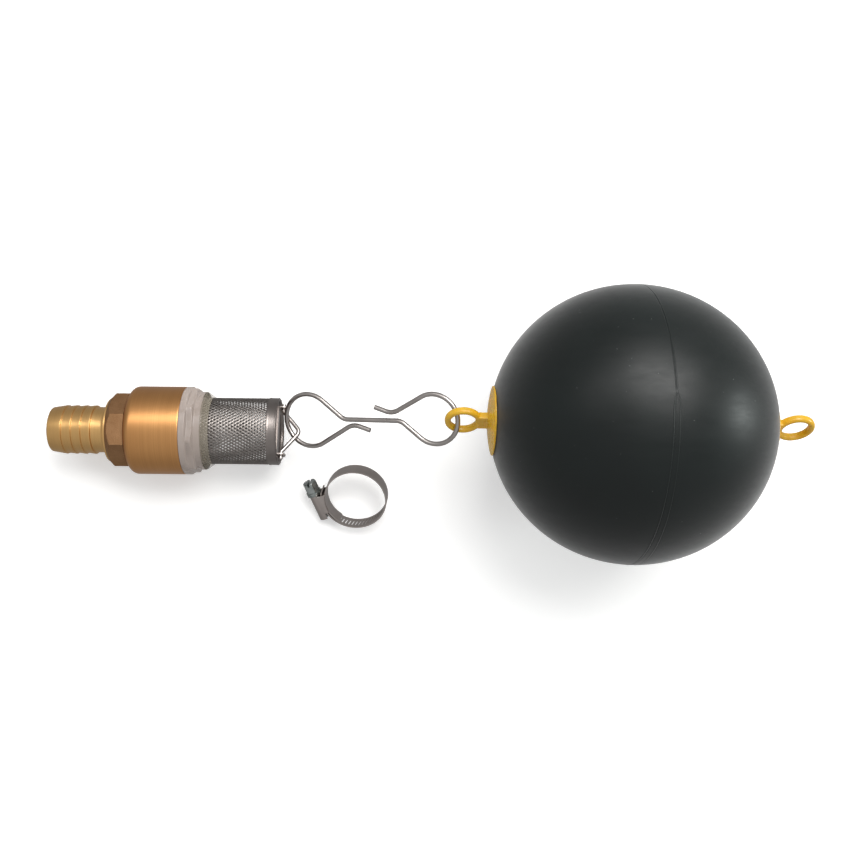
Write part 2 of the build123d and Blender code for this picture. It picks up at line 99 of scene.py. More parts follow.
# ---------------------------------------------------------------- material helpers
class Shader:
    """A material with one Principled shader, and short ways to add procedural detail to it."""

    def __init__(self, name, colour, roughness, metallic=0.0, **sockets):
        self.material = bpy.data.materials.new(name)
        self.material.use_nodes = True
        self.nodes = self.material.node_tree.nodes
        self.links = self.material.node_tree.links
        self.shader = self.nodes["Principled BSDF"]
        self.shader.inputs["Base Color"].default_value = (*colour, 1)
        self.shader.inputs["Roughness"].default_value = roughness
        self.shader.inputs["Metallic"].default_value = metallic
        for socket, value in sockets.items():
            self.shader.inputs[socket.replace("_", " ")].default_value = value
        self.place = self.nodes.new("ShaderNodeTexCoord").outputs["Object"]
        self.height = None

    def noise(self, scale, detail=2.0, rough=0.5):
        """Noise whose grain is 1 / scale metres along each axis."""
        spread = self.nodes.new("ShaderNodeMapping")
        spread.inputs["Scale"].default_value = scale
        self.links.new(self.place, spread.inputs["Vector"])
        noise = self.nodes.new("ShaderNodeTexNoise")
        noise.inputs["Scale"].default_value = 1.0
        noise.inputs["Detail"].default_value = detail
        noise.inputs["Roughness"].default_value = rough
        self.links.new(spread.outputs["Vector"], noise.inputs["Vector"])
        return noise.outputs["Fac"]

    def ramp(self, factor, stops):
        """A colour ramp from (place, colour) stops."""
        ramp = self.nodes.new("ShaderNodeValToRGB")
        band = ramp.color_ramp
        while len(band.elements) < len(stops):
            band.elements.new(0.5)
        for element, (place, colour) in zip(band.elements, stops):
            element.position = place
            element.color = (*colour, 1)
        self.links.new(factor, ramp.inputs["Fac"])
        return ramp.outputs["Color"]

    def between(self, factor, low, high, start=0.3, end=0.7):
        """A number that runs from low to high as the factor runs from start to end."""
        spread = self.nodes.new("ShaderNodeMapRange")
        spread.inputs["From Min"].default_value = start
        spread.inputs["From Max"].default_value = end
        spread.inputs["To Min"].default_value = low
        spread.inputs["To Max"].default_value = high
        self.links.new(factor, spread.inputs["Value"])
        return spread.outputs["Result"]

    def mix(self, factor, first, second):
        """Two colours mixed by a factor."""
        mix = self.nodes.new("ShaderNodeMix")
        mix.data_type = "RGBA"
        self.links.new(factor, mix.inputs["Factor"])
        self.links.new(first, mix.inputs[6])
        self.links.new(second, mix.inputs[7])
        return mix.outputs[2]

    def colour(self, socket):
        self.links.new(socket, self.shader.inputs["Base Color"])

    def roughness(self, socket):
        self.links.new(socket, self.shader.inputs["Roughness"])

    def bump(self, factor, depth, strength=1.0):
        """Adds relief of the stated depth in metres on top of any relief so far."""
        bump = self.nodes.new("ShaderNodeBump")
        bump.inputs["Distance"].default_value = depth
        bump.inputs["Strength"].default_value = strength
        self.links.new(factor, bump.inputs["Height"])
        if self.height:
            self.links.new(self.height, bump.inputs["Normal"])
        self.height = bump.outputs["Normal"]
        self.links.new(self.height, self.shader.inputs["Normal"])


# ---------------------------------------------------------------- materials
def turned_brass(name, dull, bright):
    """Brass between two tones, with fine turning marks round the axis and slight tarnish."""
    made = Shader(name, bright, 0.3, 1.0)
    patches = made.noise((45, 35, 35), 3)
    marks = made.noise((2600, 10, 10), 3, 0.6)
    shade = [0.93 * channel for channel in dull]
    tarnish = made.ramp(patches, [(0.3, shade), (0.7, dull)])
    worn = made.ramp(patches, [(0.3, dull), (0.7, bright)])
    made.colour(made.mix(made.between(marks, 0, 1, 0.3, 0.7), tarnish, worn))
    made.roughness(made.between(marks, 0.31, 0.39))
    made.bump(marks, 0.000006, 0.25)
    return made.material


def blasted_brass():
    """Brown, matt brass with the fine grain of sand blasting."""
    made = Shader("blasted_brass", (0.27, 0.15, 0.07), 0.55, 1.0)
    patches = made.noise((130, 130, 130), 3)
    grain = made.noise((2200, 2200, 2200), 3, 0.7)
    pits = made.ramp(patches, [(0.3, (0.25, 0.13, 0.058)), (0.7, (0.31, 0.168, 0.08))])
    tops = made.ramp(patches, [(0.3, (0.35, 0.195, 0.095)), (0.7, (0.42, 0.24, 0.12))])
    made.colour(made.mix(made.between(grain, 0, 1, 0.35, 0.65), pits, tops))
    made.roughness(made.between(grain, 0.48, 0.66))
    made.bump(grain, 0.00008, 0.9)
    return made.material


def milky_plastic():
    """Unpigmented nylon: cloudy, with light passing in."""
    made = Shader(
        "milky_plastic",
        (0.345, 0.292, 0.265),
        0.3,
        Subsurface_Weight=0.18,
        Subsurface_Scale=0.002,
        Subsurface_Radius=(1, 0.95, 0.8),
        IOR=1.45,
    )
    clouds = made.noise((120, 80, 80), 3)
    made.colour(made.ramp(clouds, [(0.3, (0.31, 0.26, 0.231)), (0.7, (0.37, 0.316, 0.286))]))
    made.roughness(made.between(clouds, 0.24, 0.34))
    made.bump(made.noise((600, 600, 600), 2), 0.000015, 0.4)
    return made.material


def thin_plastic():
    """The same nylon where it is thin enough for the strainer to show through."""
    made = Shader(
        "thin_plastic",
        (0.37, 0.33, 0.26),
        0.22,
        IOR=1.45,
        Alpha=0.33,
    )
    clouds = made.noise((120, 80, 80), 3)
    made.colour(made.ramp(clouds, [(0.3, (0.33, 0.29, 0.225)), (0.7, (0.4, 0.36, 0.29))]))
    made.roughness(made.between(clouds, 0.18, 0.28))
    made.bump(made.noise((600, 600, 600), 2), 0.000008, 0.4)
    return made.material


def drawn_steel():
    """Polished stainless wire, slightly uneven."""
    made = Shader("drawn_steel", (0.47, 0.435, 0.415), 0.3, 1.0)
    dirt = made.noise((150, 150, 150), 3)
    made.colour(made.ramp(dirt, [(0.3, (0.42, 0.385, 0.365)), (0.7, (0.51, 0.475, 0.455))]))
    made.roughness(made.between(dirt, 0.26, 0.34))
    made.bump(made.noise((300, 300, 300), 2), 0.000003, 0.3)
    return made.material


def sheet_steel(name, dull, bright):
    """Stainless sheet between two tones, with faint cloudy patches and a warm cast."""
    made = Shader(name, bright, 0.35, 1.0)
    patches = made.noise((90, 90, 90), 3)
    made.colour(made.ramp(patches, [(0.3, dull), (0.7, bright)]))
    made.roughness(made.between(patches, 0.3, 0.4))
    made.bump(made.noise((300, 300, 300), 2), 0.000004, 0.3)
    return made.material


def cut_mesh():
    """Expanded stainless, its tone and roughness varying in faint spots."""
    made = Shader("expanded_steel", (0.3, 0.27, 0.25), 0.36, 1.0)
    spots = made.noise((300, 300, 300), 2)
    made.colour(made.ramp(spots, [(0.3, (0.26, 0.235, 0.218)), (0.7, (0.34, 0.31, 0.292))]))
    made.roughness(made.between(spots, 0.32, 0.4))
    return made.material


def zinc_steel():
    """Zinc-plated screw, grey-green and slightly grainy."""
    made = Shader("zinc_steel", (0.36, 0.39, 0.38), 0.3, 1.0)
    spots = made.noise((500, 500, 500), 3)
    made.colour(made.ramp(spots, [(0.3, (0.28, 0.31, 0.3)), (0.7, (0.43, 0.46, 0.45))]))
    made.roughness(made.between(spots, 0.24, 0.36))
    made.bump(made.noise((900, 900, 900), 2), 0.000008, 0.4)
    return made.material


def float_plastic():
    """Near-black green polyethylene: satin, with orange peel, dust specks and rubbed patches."""
    made = Shader(
        "float_plastic",
        (0.003, 0.006, 0.0058),
        0.42,
        Specular_IOR_Level=0.31,
        Sheen_Weight=0.34,
    )
    made.shader.inputs["Sheen Roughness"].default_value = 0.35
    clouds = made.noise((22, 22, 22), 3)
    base = made.ramp(clouds, [(0.3, (0.0025, 0.0045, 0.0043)), (0.7, (0.0038, 0.007, 0.0067))])
    specks = made.noise((900, 900, 900), 1)
    dust = made.ramp(specks, [(0.8, (0, 0, 0)), (0.82, (1, 1, 1))])
    pale = made.ramp(clouds, [(0.0, (0.09, 0.1, 0.095)), (1.0, (0.14, 0.15, 0.145))])
    made.colour(made.mix(dust, base, pale))
    rubs = made.noise((60, 200, 60), 4, 0.65)
    made.roughness(made.between(rubs, 0.36, 0.47))
    made.bump(made.noise((420, 420, 420), 2), 0.00004, 0.25)
    made.bump(made.noise((3000, 3000, 3000), 1), 0.000006, 0.4)
    return made.material


def yellow_plastic():
    """Moulded yellow plastic, slightly waxy."""
    made = Shader(
        "yellow_plastic",
        (0.6, 0.35, 0.02),
        0.26,
        Subsurface_Weight=0.12,
        Subsurface_Scale=0.002,
    )
    clouds = made.noise((150, 150, 150), 2)
    made.colour(made.ramp(clouds, [(0.3, (0.57, 0.33, 0.016)), (0.7, (0.65, 0.385, 0.026))]))
    made.roughness(made.between(clouds, 0.22, 0.32))
    made.bump(made.noise((500, 500, 500), 2), 0.000012, 0.3)
    return made.material


def black_rubber():
    """Nitrile rubber with a fine matt grain."""
    made = Shader("black_rubber", (0.02, 0.02, 0.02), 0.6)
    grain = made.noise((1500, 1500, 1500), 2)
    made.colour(made.ramp(grain, [(0.3, (0.014, 0.014, 0.014)), (0.7, (0.03, 0.03, 0.03))]))
    made.bump(grain, 0.00002, 0.6)
    return made.material


def white_plastic():
    """White acetal with faint flow marks."""
    made = Shader("white_plastic", (0.8, 0.8, 0.77), 0.38)
    flow = made.noise((250, 250, 250), 2)
    made.colour(made.ramp(flow, [(0.3, (0.75, 0.75, 0.71)), (0.7, (0.84, 0.84, 0.81))]))
    made.bump(flow, 0.00003, 0.4)
    return made.material


# ---------------------------------------------------------------- mesh helpers
def mesh_piece(name, points, faces, material, smooth_angle=35):
    """A mesh object in the frame, smooth but for edges sharper than the angle."""
    mesh = bpy.data.meshes.new(name)
    mesh.from_pydata([tuple(point) for point in points], [], faces)
    mesh.update()
    piece = bpy.data.objects.new(name, mesh)
    bpy.context.scene.collection.objects.link(piece)
    piece.data.materials.append(material)
    tidy = bmesh.new()
    tidy.from_mesh(mesh)
    bmesh.ops.remove_doubles(tidy, verts=tidy.verts, dist=WELD_GAP)
    bmesh.ops.recalc_face_normals(tidy, faces=tidy.faces)
    tidy.to_mesh(mesh)
    tidy.free()
    smooth_by_angle(piece, smooth_angle)
    return piece


def smooth_by_angle(piece, angle):
    """Smooth shading, with edges sharper than the angle left sharp."""
    mesh = piece.data
    mesh.shade_smooth()
    mesh.set_sharp_from_angle(angle=math.radians(angle))


def eased(outline, steps=4):
    """An outline of (station, radius, ease) corners, each rounded over its ease."""
    made = []
    count = len(outline)
    for index, (s, r, ease) in enumerate(outline):
        corner = Vector((s, r))
        before = Vector(outline[index - 1][:2]) - corner
        after = Vector(outline[(index + 1) % count][:2]) - corner
        reach = min(ease, 0.45 * before.length, 0.45 * after.length)
        if reach <= 0:
            made.append((s, r))
            continue
        start = corner + before.normalized() * reach
        end = corner + after.normalized() * reach
        for step in range(steps + 1):
            t = step / steps
            point = start * (1 - t) ** 2 + corner * 2 * t * (1 - t) + end * t * t
            made.append((point.x, point.y))
    return made


def dense(outline, step):
    """A closed outline with no side longer than the step."""
    made = []
    for index, (s, r) in enumerate(outline):
        after = outline[(index + 1) % len(outline)]
        count = max(1, math.ceil(math.hypot(after[0] - s, after[1] - r) / step))
        for part in range(count):
            t = part / count
            made.append((s + (after[0] - s) * t, r + (after[1] - r) * t))
    return made


def turned_piece(name, outline, material, flats=None, segments=384, smooth_angle=35):
    """A piece turned about the valve's axis. flats is (start, end, corner radius, roll): an octagon."""
    points = []
    start, end, corner_r, roll = flats or (0, -1, 0, 0)
    apothem = corner_r * math.cos(HALF_SIDE_TURN)
    for s, r in outline:
        for number in range(segments):
            turn = 2 * math.pi * number / segments
            radius = r
            if start <= s <= end:
                off = (turn + HALF_SIDE_TURN) % SIDE_TURN - HALF_SIDE_TURN
                away = HALF_SIDE_TURN - abs(off)
                radius = min(r, apothem / math.cos(away))
            angle = turn + math.radians(roll)
            points.append((
                TIP_X + s * MM,
                AXIS_Y + radius * math.cos(angle) * MM,
                AXIS_Z + radius * math.sin(angle) * MM,
            ))
    faces = []
    rings = len(outline)
    for ring in range(rings):
        after = (ring + 1) % rings
        for number in range(segments):
            beside = (number + 1) % segments
            faces.append((
                ring * segments + number,
                ring * segments + beside,
                after * segments + beside,
                after * segments + number,
            ))
    return mesh_piece(name, points, faces, material, smooth_angle)


def apply_modifiers(piece):
    """Makes the mesh what the piece's modifiers show, and removes them."""
    finished = bpy.data.meshes.new_from_object(
        piece.evaluated_get(bpy.context.evaluated_depsgraph_get())
    )
    piece.modifiers.clear()
    piece.data = finished


def node_copy(name, node, material):
    """A copy of a CAD node's mesh, in one material."""
    piece = bpy.data.objects.new(name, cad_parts[node].data.copy())
    bpy.context.scene.collection.objects.link(piece)
    piece.data.materials.clear()
    piece.data.materials.append(material)
    return piece


def softened(name, node, voxel, rounds, material):
    """A moulded copy of a CAD node, its edges rounded by a fine remesh."""
    piece = node_copy(name, node, material)
    remesh = piece.modifiers.new("remesh", "REMESH")
    remesh.mode = "VOXEL"
    remesh.voxel_size = voxel
    smooth = piece.modifiers.new("smooth", "CORRECTIVE_SMOOTH")
    smooth.iterations = rounds
    smooth.use_only_smooth = True
    apply_modifiers(piece)
    piece.data.shade_smooth()
    return piece


def welded(name, node, material, bevel=0.0):
    """A copy of a CAD node with its facets joined into one smooth skin and its edges eased."""
    piece = node_copy(name, node, material)
    sharp = 40
    join = bmesh.new()
    join.from_mesh(piece.data)
    bmesh.ops.remove_doubles(join, verts=join.verts, dist=WELD_GAP)
    join.to_mesh(piece.data)
    join.free()
    if bevel:
        ease = piece.modifiers.new("ease", "BEVEL")
        ease.width = bevel * MM
        ease.segments = 2
        ease.limit_method = "ANGLE"
        ease.angle_limit = math.radians(sharp)
        apply_modifiers(piece)
    if piece.data.has_custom_normals:
        with bpy.context.temp_override(object=piece, active_object=piece, selected_objects=[piece]):
            bpy.ops.mesh.customdata_custom_splitnormals_clear()
    smooth_by_angle(piece, sharp)
    return piece


def cut_octagon(piece, corner_r, roll, start, end):
    """Cuts soft-edged octagon flats into a turned piece's outside, between two stations."""
    lead_in, edge_ease, corner_ease, wall = 1.2, 0.22, 0.02, 1.4
    apothem = corner_r * math.cos(HALF_SIDE_TURN)
    for vertex in piece.data.vertices:
        s = station(vertex.co.x)
        y, z = vertex.co.y - AXIS_Y, vertex.co.z - AXIS_Z
        r = math.hypot(y, z) / MM
        if r < apothem - wall or not start < s < end:
            continue
        turn = math.atan2(z, y) - math.radians(roll)
        off = (turn + HALF_SIDE_TURN) % SIDE_TURN - HALF_SIDE_TURN
        flat = apothem / math.cos(HALF_SIDE_TURN - math.hypot(off, corner_ease))
        grown = min(1.0, (s - start) / lead_in)
        grown *= grown * (3 - 2 * grown)
        limit = corner_r - grown * (corner_r - flat)
        blend = math.exp(-r / edge_ease) + math.exp(-limit / edge_ease)
        least = -edge_ease * math.log(blend)
        share = 1 - grown * (r - least) / r
        vertex.co = (vertex.co.x, AXIS_Y + y * share, AXIS_Z + z * share)


def make_eyelet(name, node, material):
    """Moulded eyelet: blended ring, neck and flange, with the flange trued to the ball's curve."""
    voxel, rounds = 0.2 * MM, 22
    neck_r, rim_r, fillet = 6.8, 16.9, 1.5
    lowest, face, highest = (BALL_R + height * MM for height in (0.5, 0.97, 1.4))
    piece = softened(name, node, voxel, rounds, material)
    for vertex in piece.data.vertices:
        away = vertex.co - BALL_CENTRE
        off = (away - EYE_LINE * away.dot(EYE_LINE)).length / MM
        if neck_r < off < rim_r and lowest < away.length < highest:
            trued = BALL_CENTRE + away.normalized() * face
            blend = min(1.0, (off - neck_r) / fillet)
            vertex.co = vertex.co.lerp(trued, blend)
    return piece


# ---------------------------------------------------------------- valve pieces
def make_hose_tail(material):
    """Brass tail: bore, lipped tip, four saw-tooth barbs, shank, fillet, collar and thread."""
    pitch, first, land, drop = 5.2, 7.6, 0.3, 0.15
    bore_r, lip_r, barb_r, root_r, shank_r = 10, 12.1, 13.3, 12.7, 12.45
    collar_r, groove_r, thread_r = 17.5, 15.2, 16.55
    groove_end, thread_end = BODY_START + 1.9, BODY_START + 10.6
    outline = [(0, bore_r, 0.5), (0, lip_r, 0.5)]
    for number in range(4):
        crest = first + pitch * number
        outline.append((crest - land, barb_r, 0.25))
        outline.append((crest + land, barb_r, 0.12))
        outline.append((crest + land + drop, root_r if number < 3 else shank_r, 0.15))
    collar = BODY_START - 1.2
    fillet = 3.0
    outline.append((collar - fillet, shank_r, 0))
    for step in range(1, 8):
        angle = math.radians(step * 90 / 8)
        outline.append((
            collar - fillet * (1 - math.sin(angle)),
            shank_r + fillet * (1 - math.cos(angle)),
            0,
        ))
    outline += [
        (collar, collar_r, 0.35),
        (BODY_START, collar_r, 0.1),
        (BODY_START, groove_r, 0.1),
        (groove_end, groove_r, 0.1),
        (groove_end, thread_r, 0.4),
        (thread_end, thread_r, 0.6),
        (thread_end, bore_r, 0.5),
    ]
    piece = turned_piece("hose_tail_turned", eased(outline), material, segments=256)
    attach(piece, "valve")
    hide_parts("hose_tail")


def make_valve_body(bright, blasted):
    """Body: blasted octagon with a turned chamfer, rounded shoulder, bright turned cylinder."""
    octagon_end, shoulder, join = BODY_START + 10.5, 4.3, 0.02
    corner_r, roll, outside_r = 21.3, 20, 22.3
    rim_r, face_r, chamfer = 17.3, 18.1, 4.2
    seal_r, thread_r, chamber_r, throat_r, socket_r = 21.45, 20.5, 19.5, 14.5, 16.6
    seal_depth, thread_depth = 1.9, 11
    ledge, throat_end = BODY_START + 10.6, BODY_START + 13.1
    outline = [
        (BODY_START, rim_r, 0.1),
        (BODY_START, face_r, 0.15),
        (BODY_START + chamfer, outside_r, 0),
        (octagon_end, outside_r, 0),
    ]
    for step in range(0, 9):
        angle = math.radians(step * 90 / 8)
        outline.append((
            octagon_end + shoulder * (1 - math.cos(angle)) + join,
            BODY_R - shoulder * (1 - math.sin(angle)),
            0,
        ))
    outline += [
        (BODY_END, BODY_R, 0.45),
        (BODY_END, seal_r, 0.1),
        (BODY_END - seal_depth, seal_r, 0.1),
        (BODY_END - seal_depth, thread_r, 0.1),
        (BODY_END - thread_depth, thread_r, 0.1),
        (BODY_END - thread_depth, chamber_r, 0.1),
        (throat_end, chamber_r, 0.3),
        (throat_end, throat_r, 0.3),
        (ledge, throat_r, 0.1),
        (ledge, socket_r, 0.1),
        (BODY_START + seal_depth, socket_r, 0.1),
        (BODY_START + seal_depth, rim_r, 0.1),
    ]
    rings = dense(eased(outline), 0.6)
    flats = (BODY_START, octagon_end + join / 2, corner_r, roll)
    piece = turned_piece("valve_body_turned", rings, bright, flats, smooth_angle=28)
    piece.data.materials.append(blasted)
    for face in piece.data.polygons:
        s = station(face.center.x)
        out = math.hypot(face.center.y - AXIS_Y, face.center.z - AXIS_Z) / MM
        if BODY_START + 0.05 < s < octagon_end + 0.1 and out > rim_r + 0.7:
            face.material_index = 1
    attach(piece, "valve")
    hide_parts("valve_body")


def make_adaptor(milky, thin):
    """Adaptor: flange, octagon with a turned chamfer, thin round shell and cone, and the seat."""
    flange, chamfer, shell = BODY_END + 3, BODY_END + 6.3, BODY_END + 7.4
    flats_start, flats_end, roll = BODY_END + 2.9, BODY_END + 7.6, 12
    groove_r, thread_r, seat_outer_r, seat_r, bore_r = 19.6, 20.5, 18, 14.7, 13.5
    groove_end, thread_end, seat = BODY_END - 1.9, BODY_END - 7.85, BODY_END - 9.05
    shell_r, cone, cone_lip, play, ledge, lead_in = 21.3, 3.4, 0.55, 0.02, 1.5, 4
    thin_start = CONE_END - 4.0
    outline = [
        (BODY_END, groove_r, 0.1),
        (BODY_END, BODY_R, 0.5),
        (flange, BODY_R, 0.35),
        (chamfer, BODY_R, 0.7),
        (shell, shell_r, 0.6),
        (CONE_END - cone, shell_r, 0.9),
        (CONE_END, MESH_R + cone_lip, 0.2),
        (CONE_END, MESH_R + play, 0.05),
        (MESH_START, MESH_R + play, 0.05),
        (MESH_START, MESH_R - ledge, 0.2),
        (MESH_START - lead_in, bore_r, 0.4),
        (seat, bore_r, 0.2),
        (seat, seat_r, 0.2),
        (thread_end, seat_outer_r, 0.2),
        (thread_end, thread_r, 0.3),
        (groove_end, thread_r, 0.1),
        (groove_end, groove_r, 0.1),
    ]
    rings = dense(eased(outline, 6), 0.25)
    piece = turned_piece("strainer_adaptor_moulded", rings, milky, smooth_angle=50)
    cut_octagon(piece, BODY_R, roll, flats_start, flats_end)
    piece.data.materials.append(thin)
    for face in piece.data.polygons:
        if station(face.center.x) > thin_start:
            face.material_index = 1
    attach(piece, "valve")
    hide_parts("strainer_adaptor")


def make_strainer(material):
    """Expanded metal: rows of slim diamonds between strands that rise to a rounded crest."""
    around, row, plain_ends, thickness = 60, 1.55, 0.6, 0.3
    rows = int((MESH_END - MESH_START - plain_ends) / row)
    start = (MESH_START + MESH_END - rows * row) / 2
    opening, crest, valley, middle = 0.66, 0.1, -0.12, MESH_R - 0.3
    step = 2 * math.pi / around
    points = []
    faces = []

    def add(s, turn, lift):
        radius = (middle + lift) * MM
        points.append((
            TIP_X + s * MM, AXIS_Y + radius * math.cos(turn), AXIS_Z + radius * math.sin(turn)
        ))
        return len(points) - 1

    for line in range(1, rows):
        for column in range(around):
            s = start + line * row
            turn = (column + (0.5 if line % 2 else 0.0)) * step
            corners = [(-row, 0), (0, step / 2), (row, 0), (0, -step / 2)]
            outer = [add(s + ds, turn + dt, crest) for ds, dt in corners]
            hole = [add(s + ds * opening, turn + dt * opening, valley) for ds, dt in corners]
            for side in range(4):
                beside = (side + 1) % 4
                faces.append((outer[side], outer[beside], hole[beside], hole[side]))
    for edge, far in ((start, MESH_START), (start + rows * row, MESH_END)):
        for column in range(4 * around):
            turn, beside = column * step / 4, (column + 1) * step / 4
            ends = ((edge, turn), (edge, beside), (far, beside), (far, turn))
            faces.append(tuple(add(s, angle, 0) for s, angle in ends))
    piece = mesh_piece("strainer_expanded", points, faces, material, 20)
    thick = piece.modifiers.new("thick", "SOLIDIFY")
    thick.thickness = thickness * MM
    thick.offset = 0.0
    apply_modifiers(piece)
    smooth_by_angle(piece, 75)
    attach(piece, "valve")
    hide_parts("strainer_mesh")


def make_cap(material):
    """Pressed cap: rolled lip on the basket, beaded collar, folded rim, sunk floor with a bead."""
    inside_r, collar_r = MESH_R + 0.02, CAP_R - 0.2
    bead_r, bead_half, bead_height = 14.6, 0.6, 0.05
    floor, underside, fold = CAP_END - 1.8, CAP_END - 2.4, CAP_END - 2.8
    outline = [
        (CAP_START, inside_r, 0.05),
        (CAP_START, CAP_R - 0.05, 0.15),
        (CAP_START + 0.5, CAP_R, 0.2),
        (CAP_START + 1.0, collar_r, 0.2),
        (CAP_END - 1.1, collar_r, 0.2),
        (CAP_END - 0.6, CAP_R, 0.3),
        (CAP_END, CAP_R - 0.6, 0.35),
        (CAP_END, CAP_R - 1.3, 0.3),
        (CAP_END - 0.7, CAP_R - 1.8, 0.3),
        (floor, CAP_R - 2.0, 0.5),
        (floor, bead_r + bead_half, 0.4),
        (floor + bead_height, bead_r, 0.3),
        (floor, bead_r - bead_half, 0.4),
        (floor, 0, 0),
        (underside, 0, 0),
        (underside, MESH_R - 0.95, 0.3),
        (fold, inside_r, 0.1),
    ]
    piece = turned_piece("strainer_cap_pressed", eased(outline), material, segments=192)
    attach(piece, "valve")
    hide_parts("strainer_cap")


def make_spring(material):
    """The wound spring, a smooth copy with a mesh of its own; the real spring shortens towards its
    fixed end by the poppet's travel.
    """
    piece = welded("valve_spring_wound", "valve_spring", material)
    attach(piece, "valve")
    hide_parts("valve_spring")
    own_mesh(piece)


# ---------------------------------------------------------------- float
SEAM_HEIGHT = 0.16    # how far the ball's skin lies under its CAD radius, for the parting line


def make_float(material):
    """Blow-moulded ball whose parting line splits in two at a gate mark near the top."""
    lean = Matrix.Rotation(math.radians(-0.8), 3, "Z") @ Matrix.Rotation(math.radians(2.1), 3, "Y")
    normal = lean @ EYE_LINE
    side = normal.cross(Vector((0, 0, 1))).normalized()
    up = side.cross(normal).normalized()
    around, coarse, fine_step, fine_reach = 720, 110, 0.1, 4.2
    quarter = math.pi / 2
    band = fine_reach * MM / BALL_R
    half = [quarter * number / coarse for number in range(1, coarse)]
    fine_count = round(2 * fine_reach / fine_step)
    angles = [angle for angle in half if angle < quarter - band]
    angles += [quarter - band + 2 * band * number / fine_count for number in range(fine_count + 1)]
    angles += [math.pi - angle for angle in reversed(half) if angle < quarter - band]
    radius = BALL_R - SEAM_HEIGHT * MM
    points = [BALL_CENTRE + normal * radius]
    for angle in angles:
        off = (angle - quarter) * BALL_R / MM
        for number in range(around):
            turn = 2 * math.pi * number / around
            out = up * math.cos(turn) + side * math.sin(turn)
            reach = radius + (seam_relief(off, turn) * MM if abs(off) < fine_reach else 0)
            points.append(BALL_CENTRE + (normal * math.cos(angle) + out * math.sin(angle)) * reach)
    points.append(BALL_CENTRE - normal * radius)
    last = len(points) - 1
    faces = []
    for number in range(around):
        beside = (number + 1) % around
        faces.append((0, 1 + number, 1 + beside))
        for ring in range(len(angles) - 1):
            near, far = 1 + ring * around, 1 + (ring + 1) * around
            faces.append((near + number, far + number, far + beside, near + beside))
        faces.append((last, last - around + beside, last - around + number))
    piece = mesh_piece("float_ball_moulded", points, faces, material, 60)
    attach(piece, "float")
    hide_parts("float_shell")


def bell(x, width):
    """A smooth bump of height 1."""
    return math.exp(-(x / width) ** 2)


def seam_relief(off, turn):
    """Height of the parting line in millimetres, at a distance from it and an angle round the ball.

    Above the gate mark it is one fine ridge beside a groove. Below it, two ridges draw apart.
    """
    ball_r, gate_turn, end_turn, fade_turn = BALL_R / MM, 0.22, 2.9, 0.25
    below = ball_r * (turn + gate_turn if turn < math.pi else turn - 2 * math.pi + gate_turn)
    split = 1 / (1 + math.exp(-min(40, max(-40, below * 2.5))))
    if below > ball_r * end_turn:
        split *= max(0.0, 1 - (below / ball_r - end_turn) / fade_turn)
    apart = 0.15 + 1.1 * (1 - math.exp(-max(below, 0) / 2.5)) + 0.004 * max(below, 0)
    single = 0.06 * bell(off + 0.3, 0.25) - 0.13 * bell(off - 0.1, 0.22)
    pair = 0.11 * bell(off - apart, 0.3) + 0.08 * bell(off + apart, 0.3)
    groove = -0.12 * bell(off - apart + 0.45, 0.2) - 0.07 * bell(off + apart + 0.45, 0.2)
    gate = 0.1 * bell(below - 0.3, 0.7) * bell(off, 0.9)
    return (1 - split) * single + split * (pair + groove) + gate


# ---------------------------------------------------------------- the object
MATERIALS = {
    "tail_brass": turned_brass("tail_brass", (0.72, 0.43, 0.165), (0.84, 0.53, 0.22)),
    "turned_brass": turned_brass("turned_brass", (0.63, 0.31, 0.115), (0.72, 0.375, 0.145)),
    "blasted_brass": blasted_brass(),
    "milky_plastic": milky_plastic(),
    "thin_plastic": thin_plastic(),
    "drawn_steel": drawn_steel(),
    "rolled_steel": sheet_steel("rolled_steel", (0.4, 0.355, 0.33), (0.49, 0.44, 0.415)),
    "pressed_steel": sheet_steel("pressed_steel", (0.24, 0.213, 0.2), (0.3, 0.268, 0.252)),
    "expanded_steel": cut_mesh(),
    "zinc_steel": zinc_steel(),
    "float_plastic": float_plastic(),
    "yellow_plastic": yellow_plastic(),
    "black_rubber": black_rubber(),
    "white_plastic": white_plastic(),
}

NODE_MATERIALS = {
    "tail_o_ring": "black_rubber",
    "body_o_ring": "black_rubber",
    "poppet_seal": "black_rubber",
    "stem_guide": "white_plastic",
    "poppet": "white_plastic",
    "seal_retainer": "rolled_steel",
    "bail_bracket": "rolled_steel",
    "clamp_band": "rolled_steel",
}

# Each is a piece, the CAD node it copies, its bevel in millimetres, its material and its body.
WELDED = [
    ("bail_drawn", "bail", 0, "drawn_steel", "bail"),
    ("link_hook_drawn", "link_hook", 0, "drawn_steel", "hook"),
    ("clamp_housing_pressed", "clamp_housing", 0.12, "rolled_steel", "clamp"),
    ("clamp_screw_plated", "clamp_screw", 0.15, "zinc_steel", "clamp_screw"),
]

make_hose_tail(MATERIALS["tail_brass"])
make_valve_body(MATERIALS["turned_brass"], MATERIALS["blasted_brass"])
make_adaptor(MATERIALS["milky_plastic"], MATERIALS["thin_plastic"])
make_strainer(MATERIALS["expanded_steel"])
make_cap(MATERIALS["pressed_steel"])
make_float(MATERIALS["float_plastic"])

for node, material in NODE_MATERIALS.items():
    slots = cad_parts[node].data.materials
    slots.clear()
    slots.append(MATERIALS[material])

for name, node, bevel, material, body in WELDED:
    piece = welded(name, node, MATERIALS[material], bevel)
    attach(piece, body)
    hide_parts(node)
make_spring(MATERIALS["drawn_steel"])
for node in ("eyelet_inner", "eyelet_outer"):
    piece = make_eyelet(node + "_moulded", node, MATERIALS["yellow_plastic"])
    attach(piece, "float")
    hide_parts(node)


